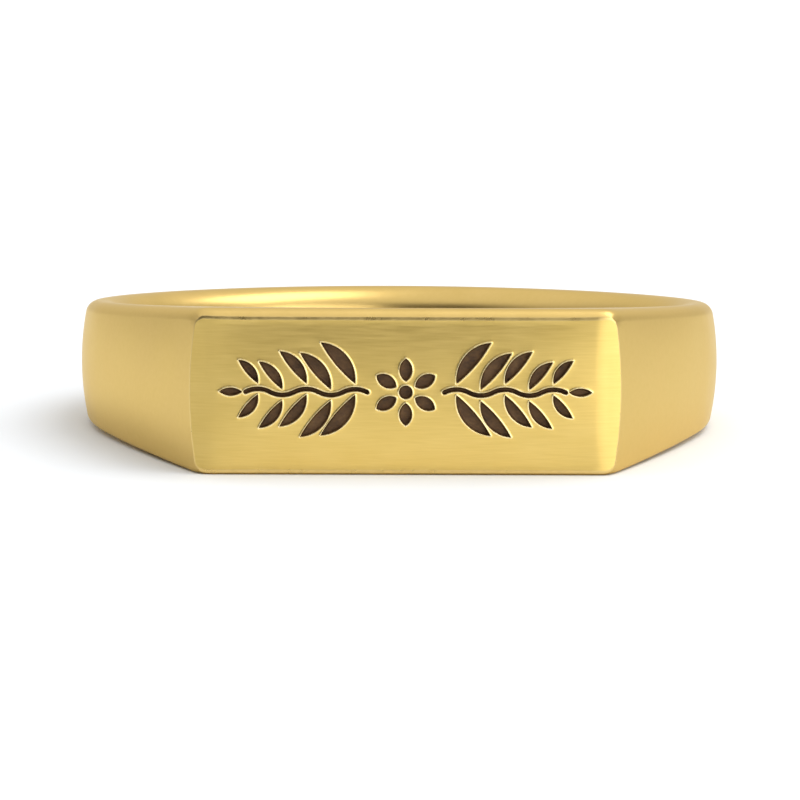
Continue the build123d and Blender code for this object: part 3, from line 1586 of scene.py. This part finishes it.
@dataclass(frozen=True)
class WornGoldPaintedSheen:
    """Gold smoother where rubbed along an edge, with small nicks, and painted paler than the satin gold as a
    painted highlight along that edge.
    """

    name: str
    pale: Color
    deep: Color
    roughness: Span
    nick_mm: float
    nick_depth: float
    tone_span: Span = (0.3, 0.6)

    def make(self) -> bpy.types.Material:
        """Makes the material.

        Returns:
            The finished material.
        """
        sheet = MaterialSheet(self.name)
        nicks = sheet.noise(sheet.even(self.nick_mm), roughness=0.6)
        sheet.tint(nicks, (self.deep, self.pale), self.tone_span)
        roughness = sheet.spread(nicks, NOISE_BULK, self.roughness)
        return sheet.finish_with(roughness, sheet.relief(nicks, self.nick_depth))


# the lip gold is far paler than the plate's gold: a painted highlight on the raised lips; their lower
# roughness and nicks are real
LIP_GOLD_PAINTED_HIGHLIGHT = WornGoldPaintedSheen("gold_lip_painted_highlight", (1.0, 0.84, 0.46), (0.90, 0.68, 0.28), (0.18, 0.30), 0.14, 0.003)
# the edge gold is paler than the satin gold beside it: a painted sheen along the plate's edge; its lower
# roughness and nicks are real wear
EDGE_GOLD_PAINTED_SHEEN = WornGoldPaintedSheen("gold_edge_painted_sheen", (0.80, 0.585, 0.225), (0.73, 0.525, 0.190), (0.26, 0.34), 0.35, 0.0004)


@dataclass
class DressedRing:
    """The ring's visible piece, with a finish on each of its surfaces."""

    sizes: RingSizes
    satin: SatinGold = SatinGold()
    brushed: BrushedGold = BrushedGold()
    bore: BoreGold = BoreGold()
    cut: CutPatina = CutPatina()
    lip: WornGoldPaintedSheen = LIP_GOLD_PAINTED_HIGHLIGHT
    edge: WornGoldPaintedSheen = EDGE_GOLD_PAINTED_SHEEN

    def build(self) -> bpy.types.Object:
        """Builds and dresses the ring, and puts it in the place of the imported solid.

        Returns:
            The finished piece.
        """
        ring = RingBody(self.sizes, Ornament(), CutProfile()).build()
        for finish in (self.satin, self.brushed, self.bore, self.cut, self.lip, self.edge):
            ring.data.materials.append(finish.make())
        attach(ring, "root")
        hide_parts("bar_ring")
        return ring


@dataclass(frozen=True)
class Table:
    """Plain white table top."""

    radius: float = 1.6
    white: Color = (0.935, 0.962, 0.995)
    shade: Color = (0.92, 0.947, 0.98)
    roughness: Span = (0.7, 0.8)
    gloss: float = 0.2
    cloud_mm: float = 50.0
    grain_mm: float = 0.5
    grain_depth: float = 0.002
    sides: int = 96

    def build(self) -> bpy.types.Object:
        """Lays the table top at height 0.

        Returns:
            The table's object.
        """
        turns = [2 * math.pi * k / self.sides for k in range(self.sides)]
        mesh = bpy.data.meshes.new("table_top")
        rim = [(self.radius * math.cos(turn), self.radius * math.sin(turn), 0.0) for turn in turns]
        mesh.from_pydata(rim, [], [tuple(range(self.sides))])
        table = placed("table_top", mesh)
        sheet = MaterialSheet("table_white", 0.0)
        sheet.surface.inputs["Specular IOR Level"].default_value = self.gloss
        sheet.tint(sheet.noise(sheet.even(self.cloud_mm), detail=2.0), (self.shade, self.white))
        grain = sheet.noise(sheet.even(self.grain_mm), detail=2.0)
        roughness = sheet.spread(grain, NOISE_BULK, self.roughness)
        mesh.materials.append(sheet.finish_with(roughness, sheet.relief(grain, self.grain_depth)))
        return table


@dataclass(frozen=True)
class SoftLamp:
    """Square softbox that looks at the ring."""

    name: str
    azimuth: float
    elevation: float
    distance: float
    size: float
    power: float

    def build(self) -> bpy.types.Object:
        """Hangs the lamp.

        Returns:
            The lamp's object.
        """
        light = bpy.data.lights.new(self.name, "AREA")
        light.shape = "SQUARE"
        light.size = self.size
        light.energy = self.power
        turn, rise = math.radians(self.azimuth), math.radians(self.elevation)
        away = Vector((math.sin(turn) * math.cos(rise), -math.cos(turn) * math.cos(rise), math.sin(rise)))
        lamp = placed(self.name, light)
        lamp.location = away * self.distance
        lamp.rotation_euler = away.to_track_quat("Z", "Y").to_euler()
        return lamp


@dataclass(frozen=True)
class StudioRoom:
    """Pale room round the table: bright overhead and behind, darker straight in front."""

    overhead: float = 1.00
    sides: float = 0.45
    back: float = 0.84
    front: float = 0.05
    front_top: Span = (0.76, 0.48)
    turn_span: Span = (0.25, 0.85)
    rise_span: Span = (0.30, 0.75)

    def build(self) -> None:
        """Sets the light of the room."""
        world = bpy.data.worlds.new("studio_room")
        world.use_nodes = True
        bpy.context.scene.world = world
        sheet = NodeSheet(world.node_tree)
        _, depth, height = sheet.split(sheet.add("ShaderNodeTexCoord", "Generated", {}))
        behind = sheet.spread(depth, self.turn_span, (self.sides, self.back), "SMOOTHSTEP")
        above = sheet.spread(height, self.rise_span, ease="SMOOTHSTEP")
        level = sheet.blend(behind, self.overhead, above)
        near, far = self.turn_span
        in_front = sheet.spread(depth, (-near, -far), ease="SMOOTHSTEP")
        low = sheet.spread(height, self.front_top, ease="SMOOTHSTEP")
        level = sheet.blend(level, self.front, sheet.calculate("MULTIPLY", in_front, low))
        background = sheet.nodes["Background"]
        background.inputs["Color"].default_value = (1.0, 1.0, 1.0, 1.0)
        sheet.links.new(level, background.inputs["Strength"])


@dataclass(frozen=True)
class PhotoCamera:
    """Camera at the photograph's angle, with a long lens close to the ring."""

    distance: float = 0.174
    focal_pixels: float = 5459.0
    frame_pixels: float = 800.0
    pitch: float = math.radians(5.75)
    turn: float = math.radians(1.12)
    roll: float = math.radians(0.30)
    center: tuple[float, float] = (399.3, 358.6)
    sensor_mm: float = 36.0
    clip: Span = (0.01, 10.0)

    def build(self, sizes: RingSizes) -> bpy.types.Object:
        """Sets up the camera.

        Args:
            sizes: Sizes of the ring, whose middle the camera is placed from.

        Returns:
            The camera's object.
        """
        sin_pitch, cos_pitch = math.sin(self.pitch), math.cos(self.pitch)
        sin_turn, cos_turn = math.sin(self.turn), math.cos(self.turn)
        own = [
            [cos_turn, -sin_turn, 0.0],
            [sin_turn * cos_pitch, cos_turn * cos_pitch, -sin_pitch],
            [sin_turn * sin_pitch, cos_turn * sin_pitch, cos_pitch],
        ]
        right, ahead, above = (Vector(row) for row in sizes.lean_back(np.array(own)))
        rolled = right * math.cos(self.roll) + above * math.sin(self.roll)
        upward = above * math.cos(self.roll) - right * math.sin(self.roll)
        half = self.frame_pixels / 2
        offset = rolled * (half - self.center[0]) - upward * (half - self.center[1])
        aim = (ahead + offset / self.focal_pixels).normalized()
        rolled = (rolled - aim * rolled.dot(aim)).normalized()
        upward = rolled.cross(aim)
        middle = Vector((0.0, 0.0, sizes.mid_height * METRES_PER_MM))
        data = bpy.data.cameras.new("photo_camera")
        data.sensor_width = self.sensor_mm
        data.lens = self.focal_pixels / self.frame_pixels * self.sensor_mm
        data.clip_start, data.clip_end = self.clip
        camera = placed("photo_camera", data)
        place = Matrix((rolled, upward, -aim)).transposed().to_4x4()
        place.translation = middle - ahead * self.distance
        camera.matrix_world = place
        bpy.context.scene.camera = camera
        return camera


def main() -> None:
    """Builds the ring, the table, the lights and the camera."""
    logging.basicConfig(level=logging.INFO, format="%(message)s")
    sizes = RingSizes()
    scene = bpy.context.scene
    scene.view_settings.view_transform = "Standard"
    PhotoCamera().build(sizes)
    ring = DressedRing(sizes).build()
    LOG.info("%s: %d faces", ring.name, len(ring.data.polygons))
    table = Table().build()
    LOG.info("%s: %d faces", table.name, len(table.data.polygons))
    StudioRoom().build()
    lamps = (
        SoftLamp("key_softbox", 98.0, 60.0, 1.00, 0.72, 4.1),
        SoftLamp("front_softbox", 35.0, 9.0, 0.85, 0.76, 3.6),
        SoftLamp("side_softbox", 62.0, 14.0, 0.80, 0.50, 0.5),
    )
    for lamp in lamps:
        lamp.build()
        LOG.info("%s: %.2f W", lamp.name, lamp.power)
    bpy.context.view_layer.update()


def plain(box: tuple[Vector, Vector]) -> list[list[float]]:
    """A box's lowest and highest corners as plain lists."""
    return [[float(value) for value in corner] for corner in box]


if __name__ == "__main__":
    main()
